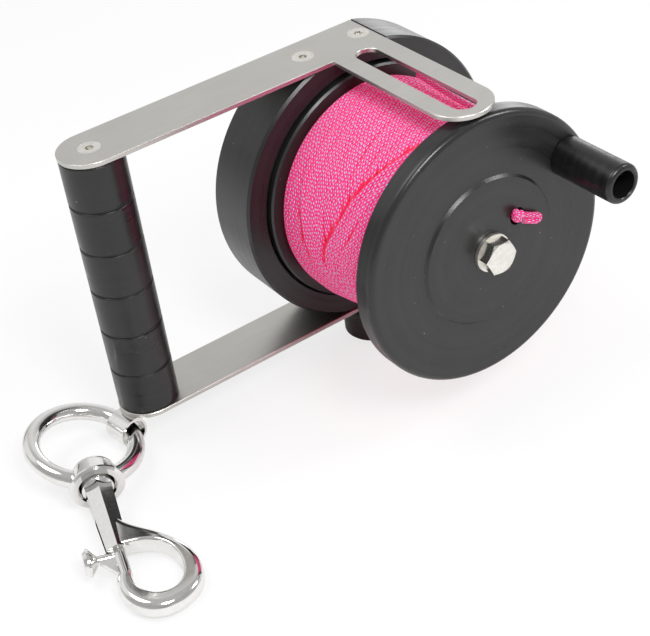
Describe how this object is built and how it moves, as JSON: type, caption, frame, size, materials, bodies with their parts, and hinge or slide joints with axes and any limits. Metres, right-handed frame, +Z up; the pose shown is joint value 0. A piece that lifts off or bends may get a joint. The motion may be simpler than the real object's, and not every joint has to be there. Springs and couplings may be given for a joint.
{
  "type": "dive reel",
  "caption": "Hand-held line reel for divers: spool with crank knob on a cup-shaped housing, grooved grip between two flat plates, slotted line guide, lock knob and a swivel snap hook",
  "frame": {"origin": "on the spool's axis, in the plane of the housing's flat rear face", "axes": "+X from the grip towards the spool, +Y out of the housing's rear face along the spool's axis, +Z up along the grip"},
  "size_m": [0.2453, 0.1394, 0.1373],
  "materials": {
    "acetal": "satin turned black acetal",
    "plate_steel": "satin stainless plate with bright edges",
    "fastener_steel": "plain stainless",
    "polished_steel": "polished stainless",
    "nylon": "natural nylon",
    "line": "bright pink braided line"
  },
  "bodies": {
    "frame": {"housing": "acetal", "top_plate": "plate_steel", "bottom_plate": "plate_steel", "hand_grip": "acetal", "grip_screw_top": "fastener_steel", "grip_screw_bottom": "fastener_steel", "housing_screws_top": "fastener_steel", "housing_screws_bottom": "fastener_steel", "axle_bolt": "fastener_steel", "axle_washer_front": "fastener_steel", "axle_washer_rear": "fastener_steel", "axle_nut": "fastener_steel", "thrust_washer": "nylon", "snap_clip": "polished_steel"},
    "spool": {"spool": "acetal", "line_core": "line", "line_winding": "line", "line_tail": "line", "line_knot": "line", "crank_screw": "fastener_steel"},
    "crank": {"crank_knob": "acetal"},
    "pad": {"lock_pad": "nylon"},
    "lock": {"lock_knob": "acetal", "lock_screw": "fastener_steel"},
    "ring": {"swivel_ring": "polished_steel"},
    "snap": {"snap_body": "polished_steel", "gate_spring": "fastener_steel"},
    "gate": {"snap_gate": "polished_steel"}
  },
  "joints": [
    {"name": "spool_spin", "type": "hinge", "parent": "frame", "child": "spool", "pos_m": [0, -0.06, 0], "axis": [0, 1, 0], "continuous": true},
    {"name": "crank_spin", "type": "hinge", "parent": "spool", "child": "crank", "pos_m": [0.0413, -0.116, 0.0245], "axis": [0, 1, 0], "continuous": true},
    {"name": "lock_advance", "type": "slide", "parent": "frame", "child": "pad", "axis": [0, 0, 1], "range_m": [-0.004, 0.0005]},
    {"name": "lock_turn", "type": "hinge", "parent": "pad", "child": "lock", "pos_m": [-0.00465, -0.0204, -0.06], "axis": [0, 0, 1], "range_deg": [-1440, 180]},
    {"name": "ring_swing", "type": "hinge", "parent": "frame", "child": "ring", "pos_m": [-0.12988, -0.01587, -0.0669], "axis": [0.1736, -0.9848, 0], "range_deg": [-65, 130]},
    {"name": "snap_swivel", "type": "hinge", "parent": "ring", "child": "snap", "pos_m": [-0.15634, -0.03804, -0.06473], "axis": [-0.2879, -0.9536, -0.0884], "continuous": true},
    {"name": "gate_slide", "type": "slide", "parent": "snap", "child": "gate", "axis": [0.2879, 0.9536, 0.0884], "range_m": [0, 0.013], "stiffness_N_per_m": 200, "springref_m": -0.008, "deforming": ["gate_spring"]}
  ],
  "couplings": [
    {"joint": "lock_turn", "follows": "lock_advance", "rad_per_m": 6283.2}
  ]
}
